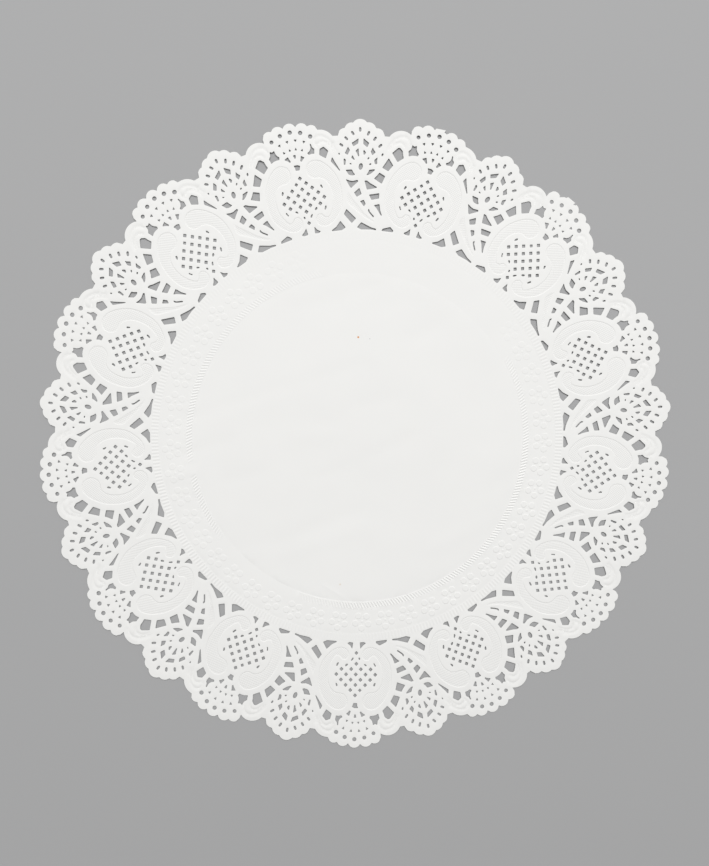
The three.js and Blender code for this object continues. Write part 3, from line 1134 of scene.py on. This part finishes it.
PAPER_WHITE = (0.880, 0.876, 0.858, 1)
PAPER_CLOUD = (0.846, 0.842, 0.826, 1)
CLOUD_SCALE = 46
FIBRE_SCALE = 2600
FIBRE_ROUGHNESS = 0.65
THREAD_PITCH = 0.00068
LINEN_HEIGHT = 0.00006
LINEN_SHARE = 0.36
FIBRE_SHARE = 0.2
SPECKS = [
    (-0.0006, 0.0410, 0.00052, (0.72, 0.33, 0.13, 1)),
    (0.0040, 0.0404, 0.00030, (0.50, 0.50, 0.52, 1)),
    (-0.0076, -0.0590, 0.00050, (0.80, 0.74, 0.66, 1)),
]
paper, tree, shader, place = new_finish("white_paper")
clouds = noise_of(place, CLOUD_SCALE, 3)
fibres = noise_of(place, FIBRE_SCALE, 4, FIBRE_ROUGHNESS)
colour = mixed(clouds * 0.75 + fibres * 0.25, PAPER_WHITE, PAPER_CLOUD)
for x, y, radius, tint in SPECKS:
    colour = mixed(speck(place, x, y, radius), colour, tint)
tree.links.new(colour.socket, shader.inputs["Base Color"])
tree.links.new((fibres * 0.12 + 0.84).socket, shader.inputs["Roughness"])
shader.inputs["Specular IOR Level"].default_value = 0.25
linen = Sum(tree, tree.nodes.new("ShaderNodeAttribute").outputs["Fac"])
linen.socket.node.attribute_name = "linen"
woven = Sum(tree, tree.nodes.new("ShaderNodeAttribute").outputs["Vector"])
woven.socket.node.attribute_name = "linen_place"
wave_turns = math.tau / THREAD_PITCH  # one wave for each thread of the grain
slant = ("Angle", math.radians(45))
slanted = woven.made("ShaderNodeVectorRotate", {"rotation_type": "Z_AXIS"}, ("Vector", woven), slant)
across = slanted.made("ShaderNodeSeparateXYZ", {}, (0, slanted))
down = Sum(tree, across.socket.node.outputs[1])
warp = across.maths("SINE", across * wave_turns)
weft = down.maths("SINE", down * wave_turns)
surface = (warp + weft) * linen * LINEN_SHARE + fibres * FIBRE_SHARE
bump = place.made("ShaderNodeBump", {}, ("Height", surface), ("Strength", 1.0), ("Distance", LINEN_HEIGHT))
tree.links.new(bump.socket, shader.inputs["Normal"])
doily.data.materials.append(paper)


# The table, lights and camera
# A plain pale grey table, with one large soft light beyond the top of the doily and an even fill.
bpy.ops.mesh.primitive_plane_add(size=8.0, location=(0, 0, -0.00002))
bpy.ops.object.transform_apply(location=True, rotation=True, scale=True)
floor = bpy.context.object
floor.name = "floor"
table_top, tree, shader, place = new_finish("table_grey")
shade = mixed(noise_of(place, 9, 4), (0.392, 0.393, 0.396, 1), (0.404, 0.404, 0.405, 1))
tree.links.new(shade.socket, shader.inputs["Base Color"])
shader.inputs["Roughness"].default_value = 0.9
floor.data.materials.append(table_top)

soft_light = bpy.data.lights.new("window", "AREA")
soft_light.shape = "RECTANGLE"
soft_light.size = 2.2
soft_light.size_y = 1.2
soft_light.energy = 51
window = bpy.data.objects.new("window", soft_light)
window.location = (0.10, 1.25, 1.95)
window.rotation_euler = (Vector((0, 0, 0)) - window.location).to_track_quat("-Z", "Y").to_euler()
bpy.context.scene.collection.objects.link(window)

world = bpy.data.worlds.new("room")
world.use_nodes = True
world.node_tree.nodes["Background"].inputs["Color"].default_value = (1, 1, 1, 1)
world.node_tree.nodes["Background"].inputs["Strength"].default_value = 0.31
bpy.context.scene.world = world
bpy.context.scene.view_settings.view_transform = "Standard"

# The camera's axes and place were fitted so that the thirteen equal repeats fall where the photo has them.
right = Vector((0.99889, 0.00335, 0.04699))
up = Vector((0.0, 0.99747, -0.07103))
back = right.cross(up).normalized()
up = back.cross(right)
lens = bpy.data.cameras.new("camera")
lens.sensor_fit = "VERTICAL"
lens.sensor_height = 36
lens.lens = 29.32
lens.clip_start = 0.01
camera = bpy.data.objects.new("camera", lens)
facing = Matrix((right, up, back)).transposed().to_4x4()
camera.matrix_world = Matrix.Translation((-0.0153, 0.0229, 0.2826)) @ facing
bpy.context.scene.collection.objects.link(camera)
bpy.context.scene.camera = camera
